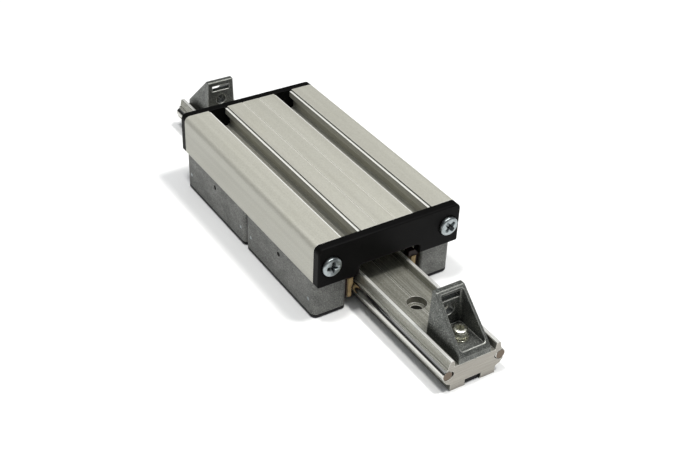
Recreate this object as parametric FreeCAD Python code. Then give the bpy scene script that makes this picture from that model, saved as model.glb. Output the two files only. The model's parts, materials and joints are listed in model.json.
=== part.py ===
"""Linear guide carriage on a twin-rod rail.

Units are millimetres. X runs along the rail, Y across it, Z up. The origin is at the centre
of the rail's underside. The front is the +X end, and left is the +Y side.
"""
import FreeCAD, Part
import math
import os

Vector = FreeCAD.Vector
AXIS_X = Vector(1, 0, 0)
AXIS_Y = Vector(0, 1, 0)
AXIS_Z = Vector(0, 0, 1)
SIDES = {"left": 1, "right": -1}
ENDS = {"front": 1, "rear": -1}

# Rail
RAIL_LENGTH = 300.0
RAIL_FLOOR_Z = 15.5          # floor of the channel between the two ridges
RIDGE_TOP_Z = 19.7
RAIL_HOLE_PITCH = 100.0
RAIL_HOLE_R = 3.3
RAIL_COUNTERBORE_R = 5.5
RAIL_COUNTERBORE_DEPTH = 4.2
BASE_GROOVE_DEPTH = 3.9
BASE_GROOVE_HALF_WIDTH = 5.15
BASE_LIP_HALF_WIDTH = 4.6
BASE_LIP_HEIGHT = 1.0
BASE_STRIP_INSET = 1.0       # from the rail's ends
BASE_STRIP_BOTTOM_Z = 0.3
BASE_STRIP_HOLE_R = 3.8
ROD_R = 3.0
ROD_Y = 16.5                 # rod axis, from the rail's middle plane
ROD_Z = 11.1
ROD_SEAT_GAP = 0.02
ROD_RELIEF_R = 2.0
ROD_RELIEF_SHIFT = 1.9
ROD_CHAMFER = 0.35

# End stops
BRACKET_LENGTH = 28.0
BRACKET_BASE_WIDTH = 20.2
BRACKET_TOP_WIDTH = 18.0
BRACKET_HEIGHT = 27.2
BRACKET_WALL = 4.2
BRACKET_ROOF = 1.2
BRACKET_FOOT = 3.8
BRACKET_SIDE_WALL = 2.0
BRACKET_NOSE_WALL = 2.4
BRACKET_NOSE_HEIGHT = 3.2    # upright face at the tip of the foot
BRACKET_CREST = 3.4          # length of the flat on top
BRACKET_EDGE_R = 0.9
BRACKET_POCKET_CORNER_R = 1.6
BRACKET_HOLE_R = 3.3
BRACKET_HOLE_HEIGHT = 14.0
BRACKET_SLOT_WIDTH = 12.0
BRACKET_SLOT_HEIGHT = 3.7
BRACKET_SLOT_BASE = 20.5
STOP_SCREW_INSET = 13.8      # from the rail's end
STOP_SCREW_R = 2.5
STOP_SCREW_LENGTH = 12.0
STOP_HEAD_R = 4.25
STOP_HEAD_HEIGHT = 5.0
STOP_HEAD_EDGE_R = 0.5
STOP_SOCKET = 4.0            # across flats
STOP_SOCKET_DEPTH = 2.8
WASHER_R = 5.0
WASHER_HEIGHT = 1.0
THREAD_GAP = 0.05
CLEARANCE = 0.25             # round a screw that passes through
THROUGH = 1.0                # how far a cutter runs past the face it opens
OVERLAP = 0.5                # how far joined volumes reach into each other
TOUCH = 0.1                  # tolerance when edges are picked by place

# Table profile
TABLE_WIDTH = 90.0
TABLE_LENGTH = 150.0
TABLE_CENTRE_X = -6.3
TABLE_BOTTOM_Z = 23.9
TABLE_TOP_Z = 48.4
TABLE_CORNER_R = 3.5
SLOT_Y = 22.6                # middle of each T-slot
SLOT_OPENING = 10.0
SLOT_SHOULDER_WIDTH = 12.8
SLOT_SHOULDER_DEPTH = 1.1
SLOT_LIP_DEPTH = 4.9
SLOT_UNDERCUT_WIDTH = 15.6
SLOT_FLOOR_Z = 35.1
CHANNEL_HALF_WIDTH = 19.3
CHANNEL_TOP_Z = 30.0
CHANNEL_CORNER_R = 1.8
RIB_GROOVE_Y = 5.7
RIB_GROOVE_WIDTH = 0.9       # across the mouth of the V
RIB_GROOVE_DEPTH = 0.4
SLOT_FLOOR_CHAMFER = 1.5
TABLE_LOW_CORNER_R = 1.0
CORE_HALF_WIDTH = 11.0       # closed chamber under the middle rib
CORE_BOTTOM_Z = 33.2
CHAMBER_TOP_Z = 45.2
CORE_CORNER_R = 1.5
CHAMBER_INNER_Y = 33.4       # closed chambers over the screw cores
CHAMBER_OUTER_Y = 41.6
CHAMBER_BOTTOM_Z = 41.2
CHAMBER_CORNER_R = 1.2
CAP_SCREW_Y = 37.3
CAP_SCREW_Z = 36.3
CAP_SCREW_R = 2.7
CAP_SCREW_LENGTH = 16.0
CAP_HEAD_R = 5.6
CAP_HEAD_HEIGHT = 3.0
CAP_THICKNESS = 5.2
CAP_EDGE_R = 0.9
CAP_RECESS_R = 6.1
CAP_RECESS_DEPTH = 0.8
CROSS_DEPTH = 2.2
CROSS_HALF_LENGTH = 2.9
CROSS_HALF_THICKNESS = 0.55
CROSS_TAPER = 0.45           # share of the length left at the bottom
CAP_HEAD_RIM = 1.2

# Bearing housings
HOUSING_INNER_Y = 24.3
HOUSING_OUTER_Y = 44.5
HOUSING_BOTTOM_Z = 2.5
HOUSING_LENGTH = 75.4
HOUSING_SPLIT = 0.4          # gap between the two housings of one side
HOUSING_CORNER_R = 3.5
HOUSING_INNER_CORNER_R = 1.5
CAVITY_TOP_Z = 17.2
CAVITY_INNER_Y = 26.5
CAVITY_OUTER_Y = 42.0
CAVITY_HALF_LENGTH = 12.0    # the open middle, which runs into the two roller pockets
POCKET_R = 12.5
OIL_PORT_R = 1.6
OIL_PORT_Z = 19.2
OIL_PORT_DEPTH = 3.6
OIL_DROP_R = 0.6
OIL_DROP_INSET = 3.1
COVER_BOTTOM_Z = 0.3
COVER_RIM_HEIGHT = 1.4
COVER_RIM_GAP = 0.3
COVER_RIM_WALL = 1.0
COVER_EDGE_R = 0.6
PEG_X = 31.8                 # cover peg, from the housing's middle
PEG_LENGTH = 3.2
PEG_INNER_Y = 40.3
PEG_OUTER_Y = 42.6
PEG_TOP_Z = 12.6
PEG_GAP = 0.15
PIN_R = 1.2
PIN_Z = 10.4
PIN_INNER_Y = 39.9
PIN_RECESS = 0.1
PIN_EDGE_R = 0.3
PRESS_GAP = 0.02
HOUSING_SCREW_R = 2.0
HOUSING_SCREW_HEAD_R = 3.5
HOUSING_SCREW_HEAD_HEIGHT = 4.0
HOUSING_SCREW_SOCKET = 3.0   # across flats
HOUSING_SCREW_SOCKET_DEPTH = 2.1
HOUSING_SCREW_TIP_Z = 31.0
HOUSING_SCREW_Y = (30.2, 38.2)

# Wipers
FELT_INNER_Y = 19.0
FELT_OUTER_Y = 22.2
FELT_BOTTOM_Z = 5.5
FELT_TOP_Z = 18.0
FELT_FACE_INSET = 1.3
FELT_LENGTH = 5.0
FELT_GAP = 0.3
FELT_LEDGE_Y = 19.7
FELT_LEDGE_Z = 9.5
HOLDER_ARM_Y = 17.4
HOLDER_ARM_TOP_Z = 21.4
HOLDER_ARM_INSET = 2.0
HOLDER_FACE_INSET = 2.8
HOLDER_LENGTH = 3.2
HOLDER_TENON_DEPTH = 2.0
HOLDER_TENON_LENGTH = 1.3
HOLDER_BOTTOM_Z = 4.4
HOLDER_TENON_BOTTOM_Z = 8.0
HOLDER_TENON_TOP_Z = 14.0
TENON_GAP = 0.1

# Track rollers
ROLLER_X = 21.0              # roller axis, from the housing's middle
ROLLER_Y = 30.8
ROLLER_R = 12.0
ROLLER_HALF_WIDTH = 5.5
ROLLER_CHAMFER = 0.8
ROLLER_GROOVE_GAP = 0.08
OUTER_BORE_R = 8.9
INNER_RING_R = 6.7
STUD_R = 4.0
BORE_GAP = 0.01
BALL_R = 1.75
BALL_PITCH_R = 7.8
BALL_COUNT = 10
RACE_GAP = 0.07
CAGE_INNER_R = 7.1
CAGE_OUTER_R = 8.5
CAGE_LOW = -0.6
CAGE_HIGH = 2.6
CAGE_POCKET_GAP = 0.1
SHIELD_INNER_R = 6.95
SHIELD_THICKNESS = 0.4
SHIELD_INSET = 0.4
STUD_HEAD_R = 6.6
STUD_HEAD_HEIGHT = 2.2
STUD_THREAD_R = 3.0
STUD_THREAD_TOP_Z = 22.6
STUD_OFFSET = 0.8            # eccentricity of the adjustable studs
SPACER_R = 6.2
STUD_HEAD_CHAMFER = 0.4
STUD_SOCKET = 5.0            # across flats
STUD_SOCKET_DEPTH = 3.1

BRACKET_FACE_X = RAIL_LENGTH / 2 - BRACKET_LENGTH
STOP_SCREW_X = RAIL_LENGTH / 2 - STOP_SCREW_INSET
FOOT_TOP_Z = RAIL_FLOOR_Z + BRACKET_FOOT
TABLE_FRONT_X = TABLE_CENTRE_X + TABLE_LENGTH / 2
TABLE_REAR_X = TABLE_CENTRE_X - TABLE_LENGTH / 2
HOUSING_OFFSET_X = (HOUSING_LENGTH + HOUSING_SPLIT) / 2
ROLLER_BOTTOM_Z = ROD_Z - ROLLER_HALF_WIDTH
ROLLER_TOP_Z = ROD_Z + ROLLER_HALF_WIDTH


def box(x0, x1, y0, y1, z0, z1):
    """A block between two corners, given in any order."""
    low = Vector(min(x0, x1), min(y0, y1), min(z0, z1))
    return Part.makeBox(abs(x1 - x0), abs(y1 - y0), abs(z1 - z0), low)


def rod(radius, length, start, axis):
    """A cylinder that starts at a point and runs along an axis."""
    return Part.makeCylinder(radius, length, Vector(*start), axis)


def extrude_x(outline, x0, x1):
    """A (y, z) outline drawn out along X."""
    points = [Vector(x0, y, z) for y, z in outline]
    face = Part.Face(Part.makePolygon(points + points[:1]))
    return face.extrude(Vector(x1 - x0, 0, 0))


def extrude_y(outline, y0, y1):
    """An (x, z) outline drawn out along Y."""
    points = [Vector(x, y0, z) for x, z in outline]
    face = Part.Face(Part.makePolygon(points + points[:1]))
    return face.extrude(Vector(0, y1 - y0, 0))


def revolve_z(outline, x, y):
    """A (radius, z) outline turned about a vertical axis through x, y."""
    points = [Vector(x + r, y, z) for r, z in outline]
    face = Part.Face(Part.makePolygon(points + points[:1]))
    return face.revolve(Vector(x, y, 0), AXIS_Z, 360)


def tube_z(outer_r, inner_r, z0, z1, x, y):
    """A plain ring on a vertical axis."""
    return revolve_z([(inner_r, z0), (outer_r, z0), (outer_r, z1), (inner_r, z1)], x, y)


def torus_z(pitch_r, radius, x, y, z):
    """A round groove cutter on a vertical axis."""
    return Part.makeTorus(pitch_r, radius, Vector(x, y, z), AXIS_Z)


def hexagon_z(across_flats, height, x, y, z):
    """A six-sided socket cutter."""
    corner_r = across_flats / math.sqrt(3)
    turns = [math.radians(60 * i) for i in range(6)]
    points = [Vector(x + corner_r * math.cos(a), y + corner_r * math.sin(a), z) for a in turns]
    face = Part.Face(Part.makePolygon(points + points[:1]))
    return face.extrude(Vector(0, 0, height))


def edges_along(shape, axis, test):
    """Straight edges parallel to an axis whose middle passes a test."""
    found = []
    for edge in shape.Edges:
        if edge.Curve.TypeId != "Part::GeomLine":
            continue
        run = edge.Vertexes[-1].Point - edge.Vertexes[0].Point
        if run.Length < 1e-6:
            continue
        if abs(abs(run.normalize().dot(axis)) - 1) < 1e-6 and test(edge.CenterOfMass):
            found.append(edge)
    return found


def mirror_y(shape):
    return shape.mirror(Vector(0, 0, 0), AXIS_Y)


def on_side(shape, side):
    """A shape drawn on the left, moved to the named side."""
    if SIDES[side] > 0:
        return shape
    return mirror_y(shape)


def group(shapes):
    """Several separate solids as one node."""
    return Part.makeCompound([solid for shape in shapes for solid in shape.Solids])


def save(name, shape):
    shape.exportStep(os.path.join("parts", name + ".step"))
    print(name, len(shape.Solids), "solids,", round(shape.Volume / 1000, 3), "cm3,", shape.isValid())


def housing_middle(end):
    return TABLE_CENTRE_X + ENDS[end] * HOUSING_OFFSET_X


def roller_axes():
    """x of the four roller axes of one side, from the front."""
    middles = [housing_middle(end) for end in ("front", "rear")]
    return [m + sign * ROLLER_X for m in middles for sign in (1, -1)]


# ---------------------------------------------------------------- rail

def rail_half_outline():
    """One half of the rail's section, from the middle of the base groove to the channel floor."""
    return [
        (0.0, BASE_GROOVE_DEPTH),
        (BASE_GROOVE_HALF_WIDTH, BASE_GROOVE_DEPTH),
        (BASE_GROOVE_HALF_WIDTH, BASE_LIP_HEIGHT),
        (BASE_LIP_HALF_WIDTH, BASE_LIP_HEIGHT),
        (BASE_LIP_HALF_WIDTH, 0.0),
        (14.0, 0.0),
        (14.0, 4.4),
        (16.6, 5.6),
        (18.45, 7.8),
        (18.45, 8.5),
        (17.9, 8.9),
        (ROD_Y, ROD_Z),
        (17.4, 13.9),
        (17.3, 14.7),
        (16.9, 15.1),
        (16.3, 15.0),
        (16.45, 15.7),
        (15.6, RIDGE_TOP_Z - 0.3),
        (15.2, RIDGE_TOP_Z),
        (13.5, RIDGE_TOP_Z),
        (13.15, RIDGE_TOP_Z - 0.3),
        (12.7, RAIL_FLOOR_Z),
        (0.5, RAIL_FLOOR_Z),
        (0.0, RAIL_FLOOR_Z - 0.5),
    ]


def make_rail():
    half = rail_half_outline()
    other_half = [(-y, z) for y, z in reversed(half[1:-1])]
    end_x = RAIL_LENGTH / 2
    rail = extrude_x(half + other_half, -end_x, end_x)
    for side in SIDES.values():
        seat = (-end_x, side * ROD_Y, ROD_Z)
        relief = (-end_x, side * (ROD_Y - ROD_RELIEF_SHIFT), ROD_Z)
        rail = rail.cut(rod(ROD_R + ROD_SEAT_GAP, RAIL_LENGTH, seat, AXIS_X))
        rail = rail.cut(rod(ROD_RELIEF_R, RAIL_LENGTH, relief, AXIS_X))
    for index in (-1, 0, 1):
        x = index * RAIL_HOLE_PITCH
        rail = rail.cut(rod(RAIL_HOLE_R, RAIL_FLOOR_Z, (x, 0, 0), AXIS_Z))
        floor_z = RAIL_FLOOR_Z - RAIL_COUNTERBORE_DEPTH
        rail = rail.cut(rod(RAIL_COUNTERBORE_R, RAIL_FLOOR_Z, (x, 0, floor_z), AXIS_Z))
    for end in ENDS.values():
        hole = (end * STOP_SCREW_X, 0, 0)
        rail = rail.cut(rod(STOP_SCREW_R + THREAD_GAP, RAIL_FLOOR_Z + THROUGH, hole, AXIS_Z))
    return rail


def make_base_strip():
    """Dark strip held in the base groove, cleared for the rail's screws."""
    wide = BASE_GROOVE_HALF_WIDTH - PRESS_GAP
    narrow = BASE_LIP_HALF_WIDTH - PRESS_GAP
    top_z = BASE_GROOVE_DEPTH - PRESS_GAP
    step_z = BASE_LIP_HEIGHT + PRESS_GAP
    low_z = BASE_STRIP_BOTTOM_Z
    section = [(-narrow, low_z), (narrow, low_z), (narrow, step_z), (wide, step_z),
               (wide, top_z), (-wide, top_z), (-wide, step_z), (-narrow, step_z)]
    end_x = RAIL_LENGTH / 2 - BASE_STRIP_INSET
    strip = extrude_x(section, -end_x, end_x)
    for index in (-1, 0, 1):
        strip = strip.cut(rod(BASE_STRIP_HOLE_R, RAIL_FLOOR_Z, (index * RAIL_HOLE_PITCH, 0, 0), AXIS_Z))
    return strip


def make_guide_rod(side):
    bar = rod(ROD_R, RAIL_LENGTH, (-RAIL_LENGTH / 2, SIDES[side] * ROD_Y, ROD_Z), AXIS_X)
    return bar.makeChamfer(ROD_CHAMFER, [e for e in bar.Edges if e.Curve.TypeId == "Part::GeomCircle"])


# ---------------------------------------------------------------- end stops

def bracket_outline():
    """Side view of the front bracket: upright wall, foot and the slanted rim between them."""
    wall_x = BRACKET_FACE_X
    tip_x = RAIL_LENGTH / 2
    top_z = RAIL_FLOOR_Z + BRACKET_HEIGHT
    return [
        (wall_x, RAIL_FLOOR_Z),
        (tip_x, RAIL_FLOOR_Z),
        (tip_x, RAIL_FLOOR_Z + BRACKET_NOSE_HEIGHT),
        (wall_x + BRACKET_CREST, top_z),
        (wall_x, top_z),
    ]


def level_rectangle(x0, x1, half_width, z):
    """A closed outline at one height, centred on the rail."""
    corners = [Vector(x0, -half_width, z), Vector(x1, -half_width, z),
               Vector(x1, half_width, z), Vector(x0, half_width, z)]
    return Part.makePolygon(corners + corners[:1])


def bracket_pocket():
    """The hollow behind the slanted mouth, a little narrower at the top."""
    x0 = BRACKET_FACE_X + BRACKET_WALL
    x1 = RAIL_LENGTH / 2 - BRACKET_NOSE_WALL
    low = level_rectangle(x0, x1, BRACKET_BASE_WIDTH / 2 - BRACKET_SIDE_WALL, FOOT_TOP_Z)
    high_z = RAIL_FLOOR_Z + BRACKET_HEIGHT - BRACKET_ROOF
    high = level_rectangle(x0, x1, BRACKET_TOP_WIDTH / 2 - BRACKET_SIDE_WALL, high_z)
    pocket = Part.makeLoft([low, high], True, True)
    corners = [e for e in pocket.Edges if e.BoundBox.ZLength > 1]
    return pocket.makeFillet(BRACKET_POCKET_CORNER_R, corners)


def make_stop_bracket(end):
    base_half = BRACKET_BASE_WIDTH / 2
    top_half = BRACKET_TOP_WIDTH / 2
    top_z = RAIL_FLOOR_Z + BRACKET_HEIGHT
    body = extrude_y(bracket_outline(), -base_half - THROUGH, base_half + THROUGH)
    section = [(-base_half, RAIL_FLOOR_Z), (base_half, RAIL_FLOOR_Z),
               (top_half, top_z), (-top_half, top_z)]
    body = body.common(extrude_x(section, BRACKET_FACE_X - THROUGH, RAIL_LENGTH / 2 + THROUGH))
    soft_edges = [e for e in body.Edges if e.CenterOfMass.z > RAIL_FLOOR_Z + THROUGH]
    body = body.makeFillet(BRACKET_EDGE_R, soft_edges)
    body = body.cut(bracket_pocket())
    hole_z = RAIL_FLOOR_Z + BRACKET_HOLE_HEIGHT
    hole_start = (BRACKET_FACE_X - THROUGH, 0, hole_z)
    body = body.cut(rod(BRACKET_HOLE_R, BRACKET_WALL + 2 * THROUGH, hole_start, AXIS_X))
    slot_z = RAIL_FLOOR_Z + BRACKET_SLOT_BASE
    slot_y = BRACKET_SLOT_WIDTH / 2
    wall_back_x = BRACKET_FACE_X + BRACKET_WALL
    body = body.cut(box(BRACKET_FACE_X - THROUGH, wall_back_x + THROUGH, -slot_y, slot_y,
                        slot_z, slot_z + BRACKET_SLOT_HEIGHT))
    foot_hole = (STOP_SCREW_X, 0, RAIL_FLOOR_Z - THROUGH)
    body = body.cut(rod(STOP_SCREW_R + CLEARANCE, BRACKET_FOOT + 2 * THROUGH, foot_hole, AXIS_Z))
    if ENDS[end] < 0:
        body = body.mirror(Vector(0, 0, 0), AXIS_X)
    return body


def make_stop_screw(end):
    x = ENDS[end] * STOP_SCREW_X
    seat_z = FOOT_TOP_Z + WASHER_HEIGHT
    head = rod(STOP_HEAD_R, STOP_HEAD_HEIGHT, (x, 0, seat_z), AXIS_Z)
    top_rim = [e for e in head.Edges if e.CenterOfMass.z > seat_z + STOP_HEAD_HEIGHT - TOUCH]
    head = head.makeFillet(STOP_HEAD_EDGE_R, top_rim)
    socket_z = seat_z + STOP_HEAD_HEIGHT - STOP_SOCKET_DEPTH
    head = head.cut(hexagon_z(STOP_SOCKET, STOP_HEAD_HEIGHT, x, 0, socket_z))
    shank = rod(STOP_SCREW_R, STOP_SCREW_LENGTH + OVERLAP, (x, 0, seat_z - STOP_SCREW_LENGTH), AXIS_Z)
    return head.fuse(shank).removeSplitter()


def make_stop_washer(end):
    x = ENDS[end] * STOP_SCREW_X
    top_z = FOOT_TOP_Z + WASHER_HEIGHT
    return tube_z(WASHER_R, STOP_SCREW_R + CLEARANCE, FOOT_TOP_Z, top_z, x, 0)


# ---------------------------------------------------------------- table

def table_blank(x0, x1):
    """The table's outline with its rounded top corners and the channel over the rail."""
    half = TABLE_WIDTH / 2
    blank = box(x0, x1, -half, half, TABLE_BOTTOM_Z, TABLE_TOP_Z)
    blank = blank.makeFillet(TABLE_CORNER_R, edges_along(
        blank, AXIS_X, lambda p: p.z > TABLE_TOP_Z - TOUCH))
    blank = blank.makeFillet(TABLE_LOW_CORNER_R, edges_along(
        blank, AXIS_X, lambda p: p.z < TABLE_BOTTOM_Z + TOUCH))
    channel = box(x0 - THROUGH, x1 + THROUGH, -CHANNEL_HALF_WIDTH, CHANNEL_HALF_WIDTH,
                  TABLE_BOTTOM_Z - THROUGH, CHANNEL_TOP_Z)
    channel = channel.makeFillet(CHANNEL_CORNER_R, edges_along(
        channel, AXIS_X, lambda p: p.z > CHANNEL_TOP_Z - TOUCH))
    return blank.cut(channel)


def t_slot_cutter(x0, x1, y):
    """One T-slot: shallow shoulders, the opening and the undercut below it."""
    shoulder_z = TABLE_TOP_Z - SLOT_SHOULDER_DEPTH
    lip_z = TABLE_TOP_Z - SLOT_LIP_DEPTH
    half_shoulder = SLOT_SHOULDER_WIDTH / 2
    half_opening = SLOT_OPENING / 2
    half_undercut = SLOT_UNDERCUT_WIDTH / 2
    outline = [
        (y - half_undercut, SLOT_FLOOR_Z + SLOT_FLOOR_CHAMFER),
        (y - half_undercut + SLOT_FLOOR_CHAMFER, SLOT_FLOOR_Z),
        (y + half_undercut - SLOT_FLOOR_CHAMFER, SLOT_FLOOR_Z),
        (y + half_undercut, SLOT_FLOOR_Z + SLOT_FLOOR_CHAMFER),
        (y + half_undercut, lip_z),
        (y + half_opening, lip_z),
        (y + half_opening, shoulder_z),
        (y + half_shoulder, shoulder_z),
        (y + half_shoulder, TABLE_TOP_Z + THROUGH),
        (y - half_shoulder, TABLE_TOP_Z + THROUGH),
        (y - half_shoulder, shoulder_z),
        (y - half_opening, shoulder_z),
        (y - half_opening, lip_z),
        (y - half_undercut, lip_z),
    ]
    return extrude_x(outline, x0, x1)


def chamber_cutter(x0, x1, y0, y1, z0, z1, corner_r):
    """A closed chamber along the table, with rounded corners."""
    chamber = box(x0, x1, y0, y1, z0, z1)
    return chamber.makeFillet(corner_r, edges_along(chamber, AXIS_X, lambda p: True))


def rib_groove_cutter(x0, x1, y):
    """A shallow V along the top of the middle rib."""
    half = RIB_GROOVE_WIDTH / 2
    outline = [(y - half, TABLE_TOP_Z), (y, TABLE_TOP_Z - RIB_GROOVE_DEPTH), (y + half, TABLE_TOP_Z),
               (y + half, TABLE_TOP_Z + THROUGH), (y - half, TABLE_TOP_Z + THROUGH)]
    return extrude_x(outline, x0, x1)


def make_table():
    x0 = TABLE_REAR_X - THROUGH
    x1 = TABLE_FRONT_X + THROUGH
    table = table_blank(TABLE_REAR_X, TABLE_FRONT_X)
    table = table.cut(chamber_cutter(x0, x1, -CORE_HALF_WIDTH, CORE_HALF_WIDTH,
                                     CORE_BOTTOM_Z, CHAMBER_TOP_Z, CORE_CORNER_R))
    for side in SIDES.values():
        table = table.cut(t_slot_cutter(x0, x1, side * SLOT_Y))
        table = table.cut(rib_groove_cutter(x0, x1, side * RIB_GROOVE_Y))
        screw_start = (x0, side * CAP_SCREW_Y, CAP_SCREW_Z)
        table = table.cut(rod(CAP_SCREW_R + THREAD_GAP, x1 - x0, screw_start, AXIS_X))
        table = table.cut(chamber_cutter(x0, x1, side * CHAMBER_INNER_Y, side * CHAMBER_OUTER_Y,
                                         CHAMBER_BOTTOM_Z, CHAMBER_TOP_Z, CHAMBER_CORNER_R))
        for end in ENDS:
            for y in HOUSING_SCREW_Y:
                hole = (housing_middle(end), side * y, TABLE_BOTTOM_Z - THROUGH)
                depth = HOUSING_SCREW_TIP_Z - TABLE_BOTTOM_Z + 2 * THROUGH
                table = table.cut(rod(HOUSING_SCREW_R + THREAD_GAP, depth, hole, AXIS_Z))
    return table


def make_end_cap(end):
    direction = ENDS[end]
    inner_x = TABLE_FRONT_X if direction > 0 else TABLE_REAR_X
    outer_x = inner_x + direction * CAP_THICKNESS
    cap = table_blank(min(inner_x, outer_x), max(inner_x, outer_x))
    rim = [e for e in cap.Edges if abs(e.BoundBox.XMin - outer_x) < TOUCH
           and abs(e.BoundBox.XMax - outer_x) < TOUCH]
    cap = cap.makeFillet(CAP_EDGE_R, rim)
    seat_x = outer_x - direction * CAP_RECESS_DEPTH
    past_x = outer_x + direction * THROUGH
    for side in SIDES.values():
        y = side * CAP_SCREW_Y
        hole_start = (min(inner_x, outer_x) - THROUGH, y, CAP_SCREW_Z)
        cap = cap.cut(rod(CAP_SCREW_R + CLEARANCE, CAP_THICKNESS + 2 * THROUGH, hole_start, AXIS_X))
        recess_start = (min(seat_x, past_x), y, CAP_SCREW_Z)
        cap = cap.cut(rod(CAP_RECESS_R, CAP_RECESS_DEPTH + THROUGH, recess_start, AXIS_X))
    return cap


def cross_recess(x, y, z, direction):
    """Cross-shaped driver recess that narrows with depth."""
    bottom_x = x - direction * CROSS_DEPTH
    bottom_half = CROSS_HALF_LENGTH * CROSS_TAPER
    outline = [(x, z - CROSS_HALF_LENGTH), (x, z + CROSS_HALF_LENGTH),
               (bottom_x, z + bottom_half), (bottom_x, z - bottom_half)]
    upright = extrude_y(outline, y - CROSS_HALF_THICKNESS, y + CROSS_HALF_THICKNESS)
    level = upright.copy()
    level.rotate(Vector(x, y, z), AXIS_X, 90)
    return upright.fuse(level)


def make_cap_screw(end, side):
    """Pan-head screw with a cross recess: a dome over a short rim, and its shank."""
    direction = ENDS[end]
    face_x = TABLE_FRONT_X + CAP_THICKNESS if direction > 0 else TABLE_REAR_X - CAP_THICKNESS
    seat_x = face_x - direction * CAP_RECESS_DEPTH
    y = SIDES[side] * CAP_SCREW_Y
    z = CAP_SCREW_Z
    dome = CAP_HEAD_HEIGHT - CAP_HEAD_RIM
    outline = [Vector(0, 0, 0), Vector(0, CAP_HEAD_R, 0), Vector(CAP_HEAD_RIM, CAP_HEAD_R, 0)]
    top = Vector(CAP_HEAD_HEIGHT, 0, 0)
    shoulder = Vector(CAP_HEAD_RIM + dome * 0.8, CAP_HEAD_R * 0.6, 0)
    edges = Part.makePolygon(outline).Edges
    edges.append(Part.Arc(outline[-1], shoulder, top).toShape())
    edges.append(Part.makeLine(top, outline[0]))
    head = Part.Face(Part.Wire(edges)).revolve(Vector(0, 0, 0), AXIS_X, 360)
    shank = rod(CAP_SCREW_R, CAP_SCREW_LENGTH, (OVERLAP - CAP_SCREW_LENGTH, 0, 0), AXIS_X)
    screw = head.fuse(shank).removeSplitter()
    if direction < 0:
        screw = screw.mirror(Vector(0, 0, 0), AXIS_X)
    screw.translate(Vector(seat_x, y, z))
    driver_x = seat_x + direction * (CAP_HEAD_HEIGHT + TOUCH)
    return screw.cut(cross_recess(driver_x, y, z, direction))


# ---------------------------------------------------------------- bearing housings

def housing_blank(middle_x, z0, z1):
    """Outline block of a housing or its cover, on the left side."""
    half = HOUSING_LENGTH / 2
    block = box(middle_x - half, middle_x + half, HOUSING_INNER_Y, HOUSING_OUTER_Y, z0, z1)
    block = block.makeFillet(HOUSING_CORNER_R, edges_along(
        block, AXIS_Z, lambda p: p.y > HOUSING_OUTER_Y - TOUCH))
    return block.makeFillet(HOUSING_INNER_CORNER_R, edges_along(
        block, AXIS_Z, lambda p: p.y < HOUSING_INNER_Y + TOUCH))


def cavity(middle_x, shrink, z0, z1):
    """The space for two rollers and the screws between them, drawn smaller by shrink."""
    hollow = box(middle_x - CAVITY_HALF_LENGTH, middle_x + CAVITY_HALF_LENGTH,
                 CAVITY_INNER_Y + shrink, CAVITY_OUTER_Y - shrink, z0, z1)
    for sign in (1, -1):
        centre = (middle_x + sign * ROLLER_X, ROLLER_Y, z0)
        hollow = hollow.fuse(rod(POCKET_R - shrink, z1 - z0, centre, AXIS_Z))
    return hollow.removeSplitter()


def peg_box(middle_x, sign, gap):
    """Peg of the bottom cover, or its socket when a gap is given."""
    x = middle_x + sign * PEG_X
    half = PEG_LENGTH / 2 + gap
    return box(x - half, x + half, PEG_INNER_Y - gap, PEG_OUTER_Y + gap,
               HOUSING_BOTTOM_Z - THROUGH, PEG_TOP_Z + gap)


def pin_hole(middle_x, sign):
    """Cross hole for a cover pin, out through the side."""
    start = (middle_x + sign * PEG_X, PIN_INNER_Y - TOUCH, PIN_Z)
    return rod(PIN_R + PRESS_GAP, HOUSING_OUTER_Y - PIN_INNER_Y + THROUGH, start, AXIS_Y)


def make_housing(end, side):
    middle_x = housing_middle(end)
    body = housing_blank(middle_x, HOUSING_BOTTOM_Z, TABLE_BOTTOM_Z)
    body = body.cut(cavity(middle_x, 0, HOUSING_BOTTOM_Z - THROUGH, CAVITY_TOP_Z))
    for sign in (1, -1):
        axis_x = middle_x + sign * ROLLER_X
        boss_height = CAVITY_TOP_Z - ROLLER_TOP_Z + OVERLAP
        body = body.fuse(rod(SPACER_R, boss_height, (axis_x, ROLLER_Y, ROLLER_TOP_Z), AXIS_Z))
        thread_start = (axis_x, ROLLER_Y + stud_offset(side), ROLLER_TOP_Z - THROUGH)
        thread_depth = STUD_THREAD_TOP_Z - ROLLER_TOP_Z + THROUGH + CLEARANCE
        body = body.cut(rod(STUD_THREAD_R + THREAD_GAP, thread_depth, thread_start, AXIS_Z))
        body = body.cut(peg_box(middle_x, sign, PEG_GAP))
        body = body.cut(pin_hole(middle_x, sign))
        body = body.cut(wiper_tenon(middle_x, sign, TENON_GAP))
    for y in HOUSING_SCREW_Y:
        screw_start = (middle_x, y, CAVITY_TOP_Z - THROUGH)
        body = body.cut(rod(HOUSING_SCREW_R + CLEARANCE, TABLE_BOTTOM_Z, screw_start, AXIS_Z))
    port_start = (middle_x, HOUSING_OUTER_Y - OIL_PORT_DEPTH, OIL_PORT_Z)
    body = body.cut(rod(OIL_PORT_R, OIL_PORT_DEPTH + THROUGH, port_start, AXIS_Y))
    drop_start = (middle_x, HOUSING_OUTER_Y - OIL_DROP_INSET, CAVITY_TOP_Z - THROUGH)
    body = body.cut(rod(OIL_DROP_R, OIL_PORT_Z - CAVITY_TOP_Z + THROUGH, drop_start, AXIS_Z))
    return on_side(body.removeSplitter(), side)


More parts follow.
